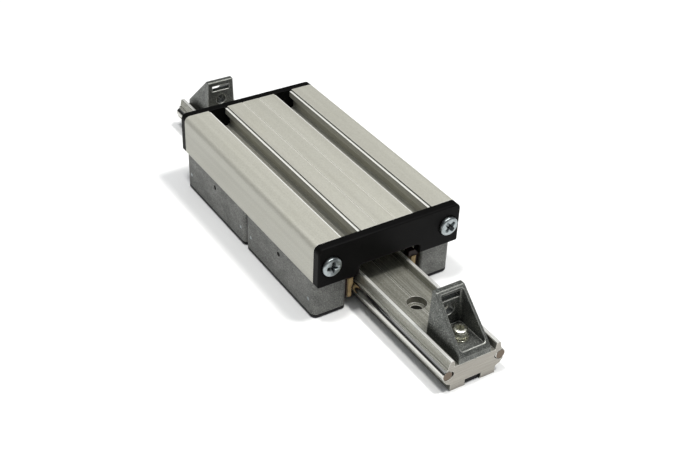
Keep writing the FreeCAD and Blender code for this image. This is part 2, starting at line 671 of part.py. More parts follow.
def make_bottom_cover(end, side):
    middle_x = housing_middle(end)
    plate = housing_blank(middle_x, COVER_BOTTOM_Z, HOUSING_BOTTOM_Z)
    low_rim = [e for e in plate.Edges if e.BoundBox.ZMax < COVER_BOTTOM_Z + TOUCH]
    plate = plate.makeFillet(COVER_EDGE_R, low_rim)
    rim_top = HOUSING_BOTTOM_Z + COVER_RIM_HEIGHT
    rim = cavity(middle_x, COVER_RIM_GAP, HOUSING_BOTTOM_Z - OVERLAP, rim_top)
    rim = rim.cut(cavity(middle_x, COVER_RIM_GAP + COVER_RIM_WALL,
                         HOUSING_BOTTOM_Z - THROUGH, rim_top + THROUGH))
    half = HOUSING_LENGTH / 2
    rim = rim.common(box(middle_x - half, middle_x + half, CAVITY_INNER_Y, HOUSING_OUTER_Y, 0, rim_top))
    cover = plate.fuse(rim)
    for sign in (1, -1):
        cover = cover.fuse(peg_box(middle_x, sign, 0))
        cover = cover.cut(pin_hole(middle_x, sign))
    return on_side(cover.removeSplitter(), side)


def make_cover_pin(end, side, sign):
    start = (housing_middle(end) + sign * PEG_X, PIN_INNER_Y, PIN_Z)
    pin = rod(PIN_R, HOUSING_OUTER_Y - PIN_RECESS - PIN_INNER_Y, start, AXIS_Y)
    rims = [e for e in pin.Edges if e.Curve.TypeId == "Part::GeomCircle"]
    return on_side(pin.makeFillet(PIN_EDGE_R, rims), side)


def make_housing_screw(end, side, y):
    """Socket-head screw that holds a housing up against the table."""
    x = housing_middle(end)
    seat_z = CAVITY_TOP_Z
    head = rod(HOUSING_SCREW_HEAD_R, HOUSING_SCREW_HEAD_HEIGHT,
               (x, y, seat_z - HOUSING_SCREW_HEAD_HEIGHT), AXIS_Z)
    shank_length = HOUSING_SCREW_TIP_Z - seat_z + OVERLAP
    shank = rod(HOUSING_SCREW_R, shank_length, (x, y, seat_z - OVERLAP), AXIS_Z)
    screw = head.fuse(shank).removeSplitter()
    socket_z = seat_z - HOUSING_SCREW_HEAD_HEIGHT - TOUCH
    socket = hexagon_z(HOUSING_SCREW_SOCKET, HOUSING_SCREW_SOCKET_DEPTH + TOUCH, x, y, socket_z)
    return on_side(screw.cut(socket), side)


# ---------------------------------------------------------------- wipers

def wiper_tenon(middle_x, sign, gap):
    """Tongue of the wiper holder that sits in the housing, or its slot when a gap is given."""
    face_x = middle_x + sign * (HOUSING_LENGTH / 2 - HOLDER_FACE_INSET + gap)
    back_x = face_x - sign * (HOLDER_TENON_LENGTH + 2 * gap)
    return box(face_x, back_x, HOUSING_INNER_Y - gap, HOUSING_INNER_Y + HOLDER_TENON_DEPTH + gap,
               HOLDER_TENON_BOTTOM_Z - gap, HOLDER_TENON_TOP_Z + gap)


def make_wiper_holder(end, side, sign):
    middle_x = housing_middle(end)
    end_x = middle_x + sign * HOUSING_LENGTH / 2
    face_x = end_x - sign * HOLDER_FACE_INSET
    back_x = face_x - sign * HOLDER_LENGTH
    plate = box(face_x, back_x, FELT_OUTER_Y, HOUSING_INNER_Y, HOLDER_BOTTOM_Z, HOLDER_ARM_TOP_Z)
    arm = box(end_x - sign * HOLDER_ARM_INSET, back_x, HOLDER_ARM_Y, HOUSING_INNER_Y,
              FELT_TOP_Z, HOLDER_ARM_TOP_Z)
    holder = plate.fuse(arm).fuse(wiper_tenon(middle_x, sign, 0))
    return on_side(holder.removeSplitter(), side)


def make_wiper_felt(end, side, sign):
    end_x = housing_middle(end) + sign * HOUSING_LENGTH / 2
    face_x = end_x - sign * FELT_FACE_INSET
    back_x = face_x - sign * FELT_LENGTH
    felt = box(face_x, back_x, FELT_INNER_Y, FELT_OUTER_Y, FELT_BOTTOM_Z, FELT_TOP_Z)
    felt = felt.cut(rod(ROD_R + FELT_GAP, RAIL_LENGTH, (-RAIL_LENGTH / 2, ROD_Y, ROD_Z), AXIS_X))
    felt = felt.cut(box(face_x + sign * THROUGH, back_x - sign * THROUGH,
                        FELT_INNER_Y - THROUGH, FELT_LEDGE_Y, 0, FELT_LEDGE_Z))
    return on_side(felt, side)


# ---------------------------------------------------------------- track rollers

def stud_offset(side):
    """The right side is adjustable, so its studs are eccentric."""
    return STUD_OFFSET if side == "right" else 0.0


def make_roller_ring(x, side):
    chamfer_z = ROLLER_HALF_WIDTH - ROLLER_CHAMFER
    outline = [
        (OUTER_BORE_R, -ROLLER_HALF_WIDTH),
        (ROLLER_R - ROLLER_CHAMFER, -ROLLER_HALF_WIDTH),
        (ROLLER_R, -chamfer_z),
        (ROLLER_R, chamfer_z),
        (ROLLER_R - ROLLER_CHAMFER, ROLLER_HALF_WIDTH),
        (OUTER_BORE_R, ROLLER_HALF_WIDTH),
    ]
    ring = revolve_z([(r, ROD_Z + z) for r, z in outline], x, ROLLER_Y)
    track_pitch_r = ROLLER_Y - ROD_Y
    ring = ring.cut(torus_z(track_pitch_r, ROD_R + ROLLER_GROOVE_GAP, x, ROLLER_Y, ROD_Z))
    ring = ring.cut(torus_z(BALL_PITCH_R, BALL_R + RACE_GAP, x, ROLLER_Y, ROD_Z))
    return on_side(ring, side)


def make_inner_ring(x, side):
    ring = tube_z(INNER_RING_R, STUD_R + BORE_GAP, ROLLER_BOTTOM_Z, ROLLER_TOP_Z, x, ROLLER_Y)
    ring = ring.cut(torus_z(BALL_PITCH_R, BALL_R + RACE_GAP, x, ROLLER_Y, ROD_Z))
    return on_side(ring, side)


def make_shields(x, side):
    low_z = ROLLER_BOTTOM_Z + SHIELD_INSET
    high_z = ROLLER_TOP_Z - SHIELD_INSET - SHIELD_THICKNESS
    discs = [tube_z(OUTER_BORE_R, SHIELD_INNER_R, z, z + SHIELD_THICKNESS, x, ROLLER_Y)
             for z in (low_z, high_z)]
    return on_side(group(discs), side)


def ball_centres(x):
    turns = [2 * math.pi * i / BALL_COUNT for i in range(BALL_COUNT)]
    return [Vector(x + BALL_PITCH_R * math.cos(a), ROLLER_Y + BALL_PITCH_R * math.sin(a), ROD_Z)
            for a in turns]


def make_balls(x, side):
    balls = [Part.makeSphere(BALL_R, centre) for centre in ball_centres(x)]
    return on_side(group(balls), side)


def make_cage(x, side):
    """Crown cage: a ring above the balls with a pocket for each of them."""
    cage = tube_z(CAGE_OUTER_R, CAGE_INNER_R, ROD_Z + CAGE_LOW, ROD_Z + CAGE_HIGH, x, ROLLER_Y)
    for centre in ball_centres(x):
        cage = cage.cut(Part.makeSphere(BALL_R + CAGE_POCKET_GAP, centre))
    return on_side(cage, side)


def make_stud(x, side):
    """Roller stud: flat head, journal for the inner ring, and a thread into the housing."""
    head_z = ROLLER_BOTTOM_Z - STUD_HEAD_HEIGHT
    head = rod(STUD_HEAD_R, STUD_HEAD_HEIGHT, (x, ROLLER_Y, head_z), AXIS_Z)
    low_rim = [e for e in head.Edges if e.CenterOfMass.z < head_z + TOUCH
               and e.Curve.TypeId == "Part::GeomCircle"]
    head = head.makeChamfer(STUD_HEAD_CHAMFER, low_rim)
    journal_start = (x, ROLLER_Y, ROLLER_BOTTOM_Z - OVERLAP)
    journal = rod(STUD_R, ROLLER_TOP_Z - ROLLER_BOTTOM_Z + OVERLAP, journal_start, AXIS_Z)
    thread_z = ROLLER_TOP_Z - OVERLAP
    thread = rod(STUD_THREAD_R, STUD_THREAD_TOP_Z - thread_z,
                 (x, ROLLER_Y + stud_offset(side), thread_z), AXIS_Z)
    stud = head.fuse(journal).fuse(thread).removeSplitter()
    socket = hexagon_z(STUD_SOCKET, STUD_SOCKET_DEPTH + TOUCH, x, ROLLER_Y, head_z - TOUCH)
    return on_side(stud.cut(socket), side)


# ---------------------------------------------------------------- assembly

def save_rail_parts():
    save("rail_profile", make_rail())
    save("rail_base_strip", make_base_strip())
    for side in SIDES:
        save("guide_rod_" + side, make_guide_rod(side))
    for end in ENDS:
        save("stop_bracket_" + end, make_stop_bracket(end))
    save("stop_screws", group([make_stop_screw(end) for end in ENDS]))
    save("stop_washers", group([make_stop_washer(end) for end in ENDS]))


def save_carriage_parts():
    save("table_profile", make_table())
    for end in ENDS:
        save("end_cap_" + end, make_end_cap(end))
    places = [(end, side) for end in ENDS for side in SIDES]
    save("end_cap_screws", group([make_cap_screw(end, side) for end, side in places]))
    for end, side in places:
        save("bearing_housing_" + end + "_" + side, make_housing(end, side))
        save("bottom_cover_" + end + "_" + side, make_bottom_cover(end, side))
    ends_of_housings = [(end, side, sign) for end, side in places for sign in (1, -1)]
    save("cover_pins", group([make_cover_pin(*place) for place in ends_of_housings]))
    save("wiper_felts", group([make_wiper_felt(*place) for place in ends_of_housings]))
    save("wiper_holders", group([make_wiper_holder(*place) for place in ends_of_housings]))
    save("housing_screws", group([make_housing_screw(end, side, y)
                                  for end, side in places for y in HOUSING_SCREW_Y]))


def save_roller_parts():
    for side in SIDES:
        for number, x in enumerate(roller_axes(), start=1):
            label = "_" + side + "_" + str(number)
            save("roller_ring" + label, make_roller_ring(x, side))
            save("roller_shields" + label, make_shields(x, side))
            save("ball_set" + label, make_balls(x, side))
            save("ball_cage" + label, make_cage(x, side))
    axes = [(x, side) for side in SIDES for x in roller_axes()]
    save("roller_inner_rings", group([make_inner_ring(x, side) for x, side in axes]))
    save("concentric_studs", group([make_stud(x, side) for x, side in axes if side == "left"]))
    save("eccentric_studs", group([make_stud(x, side) for x, side in axes if side == "right"]))


os.makedirs("parts", exist_ok=True)
save_rail_parts()
save_carriage_parts()
save_roller_parts()
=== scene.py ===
"""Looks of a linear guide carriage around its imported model.

Metres, +X along the rail, +Z up.
"""

import json
import math

import bmesh
import bpy
from mathutils import Matrix, Vector


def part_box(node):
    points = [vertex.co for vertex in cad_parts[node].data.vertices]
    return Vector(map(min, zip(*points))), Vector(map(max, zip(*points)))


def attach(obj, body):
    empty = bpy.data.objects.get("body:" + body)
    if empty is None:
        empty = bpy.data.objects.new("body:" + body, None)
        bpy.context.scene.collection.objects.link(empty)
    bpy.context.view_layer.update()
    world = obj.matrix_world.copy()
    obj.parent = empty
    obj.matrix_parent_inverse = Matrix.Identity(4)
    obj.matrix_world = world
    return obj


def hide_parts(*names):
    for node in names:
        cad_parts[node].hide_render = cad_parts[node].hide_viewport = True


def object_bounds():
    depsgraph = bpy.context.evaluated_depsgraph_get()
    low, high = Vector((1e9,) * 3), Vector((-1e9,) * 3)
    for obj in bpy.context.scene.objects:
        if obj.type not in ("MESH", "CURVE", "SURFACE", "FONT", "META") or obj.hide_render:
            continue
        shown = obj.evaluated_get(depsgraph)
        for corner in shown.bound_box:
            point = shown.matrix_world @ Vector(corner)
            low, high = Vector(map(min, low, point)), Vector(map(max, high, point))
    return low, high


MM = 0.001

# Camera: place, direction it looks back along, and lens.
CAMERA_PLACE = (0.4632, -0.2913, 0.3881)
CAMERA_AZIMUTH = 56.59
CAMERA_ELEVATION = 35.03
CAMERA_ROLL = 2.37
CAMERA_LENS = 60.42

# Lights: place, edge length and power of each, and the surround's brightness by height.
SOFTBOX_LEFT = (0.50, 0.46, 1.87, 0.29, 24.0)
SOFTBOX_RIGHT = (0.06, -0.175, 1.0, 0.14, 4.7)
WORLD_RANGE = (0.5, 1.0, 0.03, 1.0)

# Shading.
BEVEL_SAMPLES = 4
OPENNESS_SAMPLES = 6
MIDDLE = (0.3, 0.7)          # the part of a noise's range that most of its values fall in

# Screws, in millimetres.
CAP_HEAD_R = 5.6
CAP_HEAD_HEIGHT = 3.0
CAP_SHANK_R = 2.7
CAP_SHANK_LENGTH = 15.0
CAP_HEAD_RIM = 1.9
CROSS_HALF_LENGTH = 4.0
CROSS_HALF_WIDTH = 1.25
CROSS_DEPTH = 2.6
STOP_HEAD_R = 4.25
STOP_HEAD_HEIGHT = 5.0
STOP_SOCKET = 4.0
KNURL_TEETH = 48
KNURL_DEPTH = 0.16
STOP_SOCKET_DEPTH = 2.8
STOP_SHANK_R = 2.5

# Felt, in millimetres.
FELT_VOXEL = 0.25
FELT_NAP = 0.45
FELT_NAP_SIZE = 0.9

FLOOR_HALF = 3.0
SMOOTH_BELOW = 32            # degrees between faces

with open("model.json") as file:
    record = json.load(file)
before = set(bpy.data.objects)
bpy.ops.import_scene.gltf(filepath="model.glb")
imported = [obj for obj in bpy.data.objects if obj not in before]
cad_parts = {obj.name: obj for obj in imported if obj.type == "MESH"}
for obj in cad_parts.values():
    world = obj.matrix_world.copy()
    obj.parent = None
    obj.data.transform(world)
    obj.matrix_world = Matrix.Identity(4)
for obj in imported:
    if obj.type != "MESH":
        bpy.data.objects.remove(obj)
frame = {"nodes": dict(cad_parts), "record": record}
cad_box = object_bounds()


# ---------------------------------------------------------------- shader building

class Surface:
    """One Principled material and the masks that its colour, roughness and relief share."""

    def __init__(self, name, **sockets):
        self.material = bpy.data.materials.new(name)
        self.material.use_nodes = True
        self.tree = self.material.node_tree
        self.shader = self.tree.nodes["Principled BSDF"]
        self.place = self.node("ShaderNodeTexCoord").outputs["Object"]
        self.set(**sockets)

    def node(self, kind, inputs=(), **settings):
        made = self.tree.nodes.new(kind)
        for key, value in settings.items():
            setattr(made, key, value)
        for key, value in dict(inputs).items():
            self.feed(made.inputs[key], value)
        return made

    def feed(self, socket, value):
        if isinstance(value, bpy.types.NodeSocket):
            self.tree.links.new(value, socket)
        else:
            socket.default_value = value

    def set(self, **sockets):
        """Shader inputs by name, with underscores for spaces."""
        for key, value in sockets.items():
            self.feed(self.shader.inputs[key.replace("_", " ")], value)

    def noise(self, cell, detail=3.0, roughness=0.55):
        """Noise from 0 to 1 whose patches measure about cell (x, y, z) metres."""
        stretched = self.node("ShaderNodeMapping", {
            "Vector": self.place, "Scale": [1 / size for size in cell]}).outputs["Vector"]
        return self.node("ShaderNodeTexNoise", {
            "Vector": stretched, "Scale": 1.0, "Detail": detail, "Roughness": roughness,
        }).outputs["Fac"]

    def span(self, value, low, high, out_low=0.0, out_high=1.0):
        """A value from low..high mapped to out_low..out_high, and held at the ends."""
        return self.node("ShaderNodeMapRange", {
            "Value": value, "From Min": low, "From Max": high,
            "To Min": out_low, "To Max": out_high,
        }).outputs["Result"]

    def math(self, operation, first, second):
        return self.node("ShaderNodeMath", {0: first, 1: second}, operation=operation).outputs[0]

    def mix(self, factor, low, high, blend="MIX"):
        made = self.node("ShaderNodeMix", data_type="RGBA", blend_type=blend)
        for index, value in ((0, factor), (6, low), (7, high)):
            self.feed(made.inputs[index], value)
        return made.outputs[2]

    def edge_wear_and_highlight(self, radius):
        """1 along edges that a rounding of this radius would reach, 0 on open faces; it marks edge
        wear and painted edge highlights.
        """
        rounded = self.node("ShaderNodeBevel", {"Radius": radius},
                            samples=BEVEL_SAMPLES).outputs["Normal"]
        flat = self.node("ShaderNodeNewGeometry").outputs["Normal"]
        likeness = self.node("ShaderNodeVectorMath", {0: rounded, 1: flat},
                             operation="DOT_PRODUCT").outputs["Value"]
        return self.span(likeness, 0.999, 0.93)

    def crevices(self, distance, shallow=0.85, deep=0.25):
        """1 where less than the deep share of the view out is open, 0 above the shallow share; the
        materials use it to paint shade.
        """
        open_air = self.node("ShaderNodeAmbientOcclusion", {"Distance": distance},
                             samples=OPENNESS_SAMPLES).outputs["AO"]
        return self.span(open_air, shallow, deep)

    def faces_end(self):
        """1 on faces that look along the rail, 0 elsewhere."""
        normal = self.node("ShaderNodeNewGeometry").outputs["Normal"]
        along = self.node("ShaderNodeSeparateXYZ", {"Vector": normal}).outputs["X"]
        return self.span(self.math("ABSOLUTE", along, 0.0), 0.85, 0.95)

    def level_band(self, low, high, direction):
        """1 on faces between two heights that look along Y or Z, 0 elsewhere."""
        above = self.node("ShaderNodeSeparateXYZ", {"Vector": self.place}).outputs["Z"]
        normal = self.node("ShaderNodeNewGeometry").outputs["Normal"]
        facing = self.node("ShaderNodeSeparateXYZ", {"Vector": normal}).outputs[direction]
        inside = self.math("MULTIPLY", self.math("GREATER_THAN", above, low),
                           self.math("LESS_THAN", above, high))
        along = self.span(self.math("ABSOLUTE", facing, 0.0), 0.9, 0.97)
        return self.math("MULTIPLY", inside, along)

    def relief(self, height, depth, edge_radius=None):
        """Bump from a height mask; depth in metres. edge_radius rounds the edges it is laid on."""
        inputs = {"Height": height, "Strength": 1.0, "Distance": depth}
        if edge_radius:
            inputs["Normal"] = self.node("ShaderNodeBevel", {"Radius": edge_radius},
                                         samples=BEVEL_SAMPLES).outputs["Normal"]
        self.set(Normal=self.node("ShaderNodeBump", inputs).outputs["Normal"])


def rgb(red, green, blue):
    return (red, green, blue, 1.0)


# ---------------------------------------------------------------- materials

def drawn_aluminium(name, dark, light, end_colour, metallic, roughness, lines_depth, band_width,
                    speckle, shade, ledge_height):
    """Satin anodised extrusion: fine draw lines along X, saw-cut ends and painted highlights on
    ledges.

    Faces that look up at ledge_height get a painted highlight; the step just above them gets
    painted shade.
    """
    surface = Surface(name, Metallic=metallic)
    lines = surface.noise((0.09, 0.00018, 0.00018), detail=2.0)
    bands = surface.noise((0.3, band_width, band_width), detail=2.0)
    grain = surface.noise((0.0009, 0.0006, 0.0006), detail=3.0)
    stains = surface.noise((0.03, 0.02, 0.02), detail=4.0)
    cuts = surface.noise((0.05, 0.02, 0.0003), detail=3.0)
    ends = surface.faces_end()
    tone = surface.mix(surface.span(bands, 0.35, 0.65), rgb(*dark), rgb(*light))
    for mask, tint in ((surface.span(lines, *MIDDLE, 0.0, 0.30), rgb(0.75, 0.74, 0.70)),
                       (surface.span(grain, 0.35, 0.7, 0.0, speckle), rgb(0.62, 0.61, 0.58)),
                       (surface.span(stains, 0.55, 0.75, 0.0, 0.12), rgb(0.80, 0.78, 0.62))):
        tone = surface.mix(mask, tone, tint, "MULTIPLY")
    cut_tone = surface.mix(surface.span(cuts, *MIDDLE), rgb(*end_colour),
                           rgb(*[1.5 * c for c in end_colour]))
    tone = surface.mix(ends, tone, cut_tone)
    # Painted shade: crevices and slot interiors are darkened towards near black where shade falls.
    depth = surface.math("MULTIPLY", surface.crevices(0.010, 0.55, 0.15), shade)
    tone = surface.mix(depth, tone, rgb(0.035, 0.035, 0.027))
    # Edges painted light warm grey: partly edge wear, partly a painted highlight along the rounded
    # corners.
    tone = surface.mix(surface.math("MULTIPLY", surface.edge_wear_and_highlight(0.0004), 0.8), tone,
                       rgb(0.90, 0.89, 0.84))
    # Painted shade: the step wall just above ledge_height is painted near black.
    painted_shade_step_wall = surface.level_band(ledge_height + 0.00005, ledge_height + 0.001, "Y")
    tone = surface.mix(painted_shade_step_wall, tone, rgb(0.07, 0.07, 0.055))
    # Painted highlight: up-facing faces at ledge_height are painted near white and made glossier.
    painted_highlight_ledge = surface.level_band(ledge_height - 0.0001, ledge_height + 0.0001, "Z")
    tone = surface.mix(painted_highlight_ledge, tone, rgb(0.93, 0.93, 0.89))
    rough = surface.span(lines, *MIDDLE, roughness - 0.06, roughness + 0.06)
    surface.set(Base_Color=tone, Roughness=surface.mix(painted_highlight_ledge, rough, rgb(0.3, 0.3, 0.3)))
    surface.relief(surface.mix(ends, lines, cuts), lines_depth, edge_radius=0.0003)
    return surface.material


def ground_steel():
    """Hardened guide rod: polished, with faint runs where the rollers travel."""
    surface = Surface("ground_steel", Metallic=1.0)
    runs = surface.noise((0.12, 0.0005, 0.0005), detail=3.0)
    smears = surface.noise((0.02, 0.003, 0.003), detail=2.0)
    ends = surface.faces_end()
    tone = surface.mix(surface.span(runs, *MIDDLE), rgb(0.38, 0.375, 0.35), rgb(0.72, 0.71, 0.67))
    tone = surface.mix(ends, tone, rgb(0.17, 0.135, 0.105))
    polish = surface.span(smears, *MIDDLE, 0.10, 0.22)
    surface.set(Base_Color=tone, Roughness=surface.mix(ends, polish, rgb(0.5, 0.5, 0.5)))
    surface.relief(runs, 0.000004, edge_radius=0.0002)
    return surface.material


def casting(name, dark, light, rubbed, metallic, roughness, skin_cell, skin_depth, edge_radius):
    """Die casting: mottled patina, a grainy skin, bright rubbed edges and painted shade in its
    corners and holes.
    """
    surface = Surface(name, Metallic=metallic)
    clouds = surface.noise((0.010, 0.010, 0.007), detail=6.0, roughness=0.62)
    skin = surface.noise((skin_cell, skin_cell, skin_cell), detail=4.0)
    specks = surface.noise((0.0005, 0.0005, 0.0005), detail=2.0)
    edges = surface.edge_wear_and_highlight(edge_radius)
    rub = surface.math("MULTIPLY", edges, surface.span(skin, 0.25, 0.6, 0.45, 1.0))
    tone = surface.mix(surface.span(clouds, 0.33, 0.67), rgb(*dark), rgb(*light))
    tone = surface.mix(surface.span(skin, 0.38, 0.62, 0.0, 0.6), tone,
                       rgb(*[0.55 * c for c in dark]))
    tone = surface.mix(surface.span(specks, 0.55, 0.72, 0.0, 0.6), tone, rgb(*rubbed))
    # Painted shade: corners and holes are darkened towards near black.
    corners = surface.math("MULTIPLY", surface.crevices(0.003), 0.75)
    tone = surface.mix(corners, tone, rgb(0.012, 0.012, 0.011))
    tone = surface.mix(rub, tone, rgb(*rubbed))
    rough = surface.span(skin, *MIDDLE, roughness - 0.06, roughness + 0.08)
    surface.set(Base_Color=tone, Roughness=rough)
    surface.relief(skin, skin_depth, edge_radius=edge_radius)
    return surface.material


def moulded_plastic(name, dark, light, gloss, specular, edge_radius):
    """Moulded plastic with a fine spark-eroded grain."""
    surface = Surface(name, Specular_IOR_Level=specular)
    grain = surface.noise((0.00035, 0.00035, 0.00035), detail=2.0)
    patches = surface.noise((0.015, 0.015, 0.015), detail=3.0)
    tone = surface.mix(surface.span(patches, *MIDDLE), rgb(*dark), rgb(*light))
    # Painted highlight: edges are painted lighter than the faces.
    tone = surface.mix(surface.math("MULTIPLY", surface.edge_wear_and_highlight(edge_radius), 0.5), tone,
                       rgb(*[4.0 * c for c in light]))
    rough = surface.span(grain, *MIDDLE, gloss - 0.05, gloss + 0.08)
    surface.set(Base_Color=tone, Roughness=rough)
    surface.relief(grain, 0.00002, edge_radius=edge_radius)
    return surface.material


def plated_steel(name, dark, light, roughness, recess_shade):
    """Zinc-plated steel: soft spangle, with painted shade in its recesses."""
    surface = Surface(name, Metallic=1.0)
    spangle = surface.noise((0.0015, 0.0015, 0.0015), detail=3.0)
    scuffs = surface.noise((0.0003, 0.002, 0.0004), detail=2.0)
    tone = surface.mix(surface.span(spangle, *MIDDLE), rgb(*dark), rgb(*light))
    tone = surface.mix(surface.span(scuffs, 0.55, 0.8, 0.0, 0.35), tone,
                       rgb(*[0.5 * c for c in dark]))
    # Painted shade: recesses such as the cross and hex sockets are darkened, scaled by
    # recess_shade.
    recesses = surface.math("MULTIPLY", surface.crevices(0.003, 0.72, 0.42), recess_shade)
    tone = surface.mix(recesses, tone, rgb(*[0.03 * c for c in dark]))
    rough = surface.span(spangle, *MIDDLE, roughness - 0.06, roughness + 0.08)
    surface.set(Base_Color=tone, Roughness=rough)
    surface.relief(scuffs, 0.00001, edge_radius=0.0002)
    return surface.material


def bearing_metal(name, dark, light, roughness):
    """Turned and ground bearing parts under a film of oil."""
    surface = Surface(name, Metallic=1.0, Coat_Weight=0.2, Coat_Roughness=0.1)
    turning = surface.noise((0.003, 0.003, 0.0002), detail=2.0)
    oil = surface.noise((0.004, 0.004, 0.004), detail=3.0)
    tone = surface.mix(surface.span(turning, *MIDDLE), rgb(*dark), rgb(*light))
    tone = surface.mix(surface.span(oil, 0.5, 0.8, 0.0, 0.3), tone, rgb(0.20, 0.16, 0.09))
    surface.set(Base_Color=tone, Roughness=surface.span(oil, *MIDDLE, roughness, roughness + 0.1))
    surface.relief(turning, 0.000005, edge_radius=0.0003)
    return surface.material


def wool_felt():
    """Oiled wool felt: fibrous, uneven tan."""
    surface = Surface("felt", Sheen_Weight=0.3, Sheen_Roughness=0.6)
    fibres = surface.noise((0.0006, 0.0002, 0.0009), detail=5.0, roughness=0.7)
    patches = surface.noise((0.003, 0.003, 0.003), detail=3.0)
    tone = surface.mix(surface.span(patches, *MIDDLE), rgb(0.24, 0.145, 0.05),
                       rgb(0.50, 0.34, 0.13))
    tone = surface.mix(surface.span(fibres, 0.3, 0.75, 0.0, 0.6), tone, rgb(0.66, 0.50, 0.25))
    # Painted shade in the felt's crevices.
    tone = surface.mix(surface.math("MULTIPLY", surface.crevices(0.0015), 0.7), tone,
                       rgb(0.05, 0.03, 0.012))
    surface.set(Base_Color=tone, Roughness=surface.span(fibres, 0.2, 0.8, 0.8, 0.98))
    surface.relief(fibres, 0.0002)
    return surface.material


def floor_paper():
    """Pale matt table that the carriage stands on."""
    surface = Surface("floor_paper", Specular_IOR_Level=0.1)
    patches = surface.noise((0.2, 0.2, 0.2), detail=2.0)
    tone = surface.mix(surface.span(patches, 0.2, 0.8), rgb(0.90, 0.905, 0.91),
                       rgb(0.92, 0.925, 0.93))
    surface.set(Base_Color=tone, Roughness=surface.span(patches, 0.2, 0.8, 0.85, 0.95))
    return surface.material


MATERIALS = {
    "rail_aluminium": drawn_aluminium("rail_aluminium", (0.30, 0.298, 0.262), (0.46, 0.46, 0.41),
                                      (0.28, 0.265, 0.235), 0.60, 0.38, 0.000040, 0.0009, 1.0, 0.9,
                                      0.0197),
    "table_aluminium": drawn_aluminium("table_aluminium", (0.50, 0.495, 0.44), (0.56, 0.555, 0.495),
                                       (0.36, 0.35, 0.31), 0.35, 0.48, 0.000014, 0.005, 0.4, 1.0,
                                       0.0473),
    "ground_steel": ground_steel(),
    "die_cast": casting("die_cast", (0.080, 0.087, 0.080), (0.18, 0.185, 0.175), (0.62, 0.63, 0.59),
                        0.75, 0.42, 0.0011, 0.00007, 0.0008),
    "housing_casting": casting("housing_casting", (0.115, 0.118, 0.11), (0.225, 0.228, 0.215),
                               (0.42, 0.42, 0.39), 0.45, 0.55, 0.0007, 0.00008, 0.0004),
    "black_plastic": moulded_plastic("black_plastic", (0.0022, 0.0022, 0.0022),
                                     (0.0038, 0.0036, 0.0036),
                                     0.45, 0.06, 0.0005),
    "cover_plastic": moulded_plastic("cover_plastic", (0.004, 0.004, 0.0045), (0.008, 0.008, 0.009),
                                     0.50, 0.20, 0.0003),
    "brown_plastic": moulded_plastic("brown_plastic", (0.014, 0.006, 0.005), (0.030, 0.012, 0.010),
                                     0.45, 0.20, 0.0002),
    "cage_plastic": moulded_plastic("cage_plastic", (0.30, 0.26, 0.17), (0.40, 0.35, 0.24),
                                    0.40, 0.40, 0.0002),
    "zinc_steel": plated_steel("zinc_steel", (0.26, 0.295, 0.305), (0.46, 0.50, 0.51), 0.34,
                               0.98),
    "yellow_zinc_steel": plated_steel("yellow_zinc_steel", (0.70, 0.69, 0.56),
                                      (0.90, 0.90, 0.80), 0.26,
                                      0.55),
    "bearing_steel": bearing_metal("bearing_steel", (0.45, 0.45, 0.44), (0.60, 0.60, 0.58), 0.18),
    "bearing_shield": bearing_metal("bearing_shield", (0.32, 0.31, 0.28), (0.45, 0.43, 0.38), 0.30),
    "bearing_ball": bearing_metal("bearing_ball", (0.60, 0.60, 0.60), (0.72, 0.72, 0.71), 0.08),
    "felt": wool_felt(),
}


def paint_nodes():
    """Gives each CAD node the material of its slot in the record."""
    slots = {row["node"]: row["material_slot"] for row in frame["record"]["subparts"]}
    for name, node in frame["nodes"].items():
        node.data.materials.clear()
        node.data.materials.append(MATERIALS[slots[name]])


# ---------------------------------------------------------------- pieces

def new_piece(name, mesh, slot, body, replaced):
    piece = bpy.data.objects.new(name, mesh)
    bpy.context.scene.collection.objects.link(piece)
    mesh.materials.clear()
    mesh.materials.append(MATERIALS[slot])
    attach(piece, body)
    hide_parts(replaced)
    return piece


def turned(profile, segments, tooth_depth=0.0, toothed=()):
    """A (radius, height) profile in mm turned about Z; the toothed rows carry a knurl."""
    shape = bmesh.new()
    rings = []
    for row, (radius, height) in enumerate(profile):
        ring = []
        for step in range(segments):
            angle = 2 * math.pi * step / segments
            dent = tooth_depth if row in toothed and step % 4 in (0, 1) else 0.0
            reach = (radius - dent) * MM
            x, y = reach * math.cos(angle), reach * math.sin(angle)
            ring.append(shape.verts.new((x, y, height * MM)))
        rings.append(ring)
    for low, high in zip(rings, rings[1:]):
        for step in range(segments):
            after = (step + 1) % segments
            shape.faces.new((low[step], low[after], high[after], high[step]))
    shape.faces.new(reversed(rings[0]))
    shape.faces.new(rings[-1])
    return shape


def prism(outline, top_z, bottom_z, shrink):
    """An (x, y) outline in mm at top_z, drawn smaller by the factor shrink down to bottom_z."""
    shape = bmesh.new()
    top = [shape.verts.new((x * MM, y * MM, top_z * MM)) for x, y in outline]
    low = [shape.verts.new((x * shrink * MM, y * shrink * MM, bottom_z * MM)) for x, y in outline]
    shape.faces.new(top)
    shape.faces.new(reversed(low))
    for index in range(len(outline)):
        after = (index + 1) % len(outline)
        shape.faces.new((top[after], top[index], low[index], low[after]))
    return shape


def to_object(shape, name):
    mesh = bpy.data.meshes.new(name)
    bmesh.ops.recalc_face_normals(shape, faces=shape.faces)
    shape.to_mesh(mesh)
    shape.free()
    made = bpy.data.objects.new(name, mesh)
    bpy.context.scene.collection.objects.link(made)
    return made


def final_mesh(made):
    """A new mesh of the object as its modifiers leave it."""
    bpy.context.view_layer.update()
    graph = bpy.context.evaluated_depsgraph_get()
    return bpy.data.meshes.new_from_object(made.evaluated_get(graph))


def carved(blank, cutter):
    """The blank's mesh with the cutter taken out; both helper objects are removed."""
    cut = blank.modifiers.new("cut", "BOOLEAN")
    cut.operation = "DIFFERENCE"
    cut.solver = "EXACT"
    cut.object = cutter
    mesh = final_mesh(blank)
    bpy.data.objects.remove(blank)
    bpy.data.objects.remove(cutter)
    return mesh


